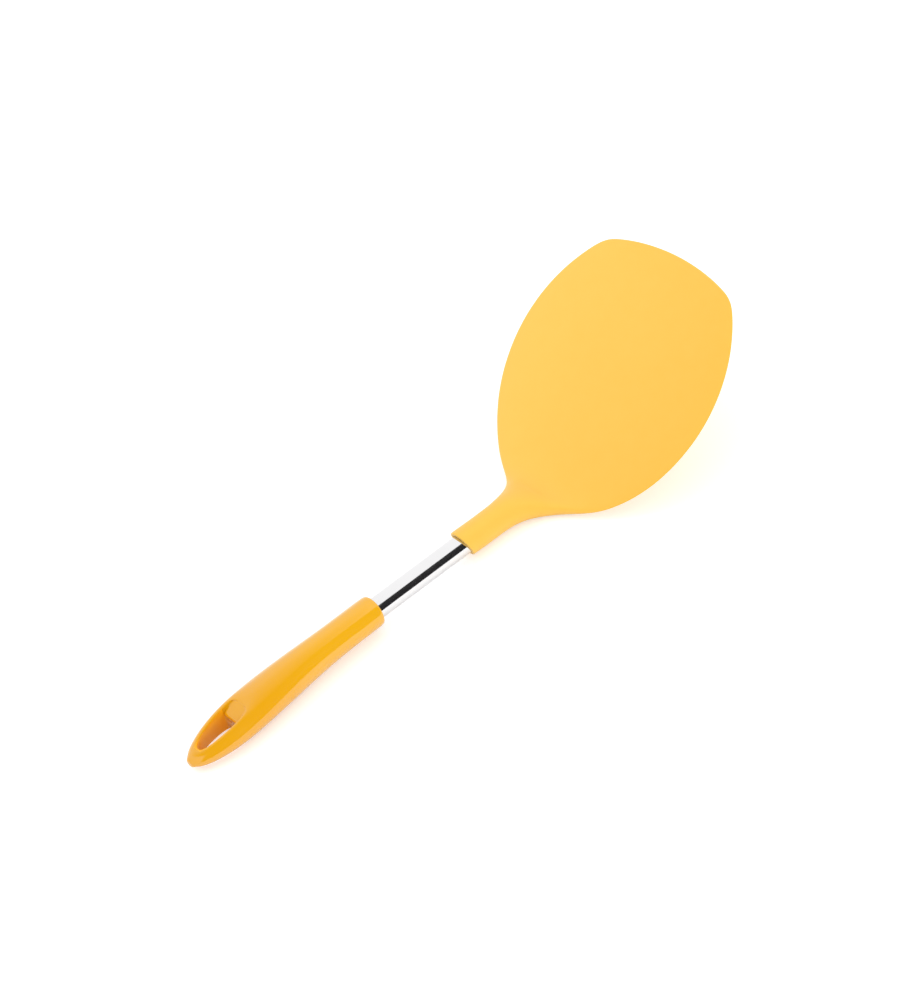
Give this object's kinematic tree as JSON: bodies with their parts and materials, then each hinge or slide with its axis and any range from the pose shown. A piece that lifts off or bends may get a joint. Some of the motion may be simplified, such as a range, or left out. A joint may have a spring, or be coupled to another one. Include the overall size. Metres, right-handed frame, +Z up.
{
  "type": "flexible spatula",
  "caption": "Flexible kitchen turner: a wide thin yellow leaf-shaped blade moulded with its neck, a bare steel tube and a glossy drooping handle with a drop-shaped hanging eye.",
  "frame": {"origin": "centre of the bounding box, on the table that the turner lies on", "axes": "+X along the tool towards the tip of the leaf, +Y across it to the left, +Z up from the table"},
  "size_m": [0.2996, 0.1156, 0.0716],
  "materials": {
    "handle_gloss": "glossy golden yellow",
    "polished_steel": "polished stainless steel",
    "plug_plastic": "plain moulded",
    "blade_matte": "fine matte pale yellow"
  },
  "bodies": {
    "shaft": {"handle": "handle_gloss", "shaft_tube": "polished_steel", "tube_front_plug": "plug_plastic", "tube_rear_plug": "plug_plastic", "blade_neck": "blade_matte"},
    "leaf": {"blade_leaf": "blade_matte"}
  },
  "joints": [
    {"name": "leaf_flex", "type": "hinge", "parent": "shaft", "child": "leaf", "pos_m": [0.06447, 0, 0.00954], "axis": [0, -1, 0], "range_deg": [-20, 20], "stiffness_Nm_per_rad": 0.9, "deforming": ["blade_leaf"]}
  ]
}
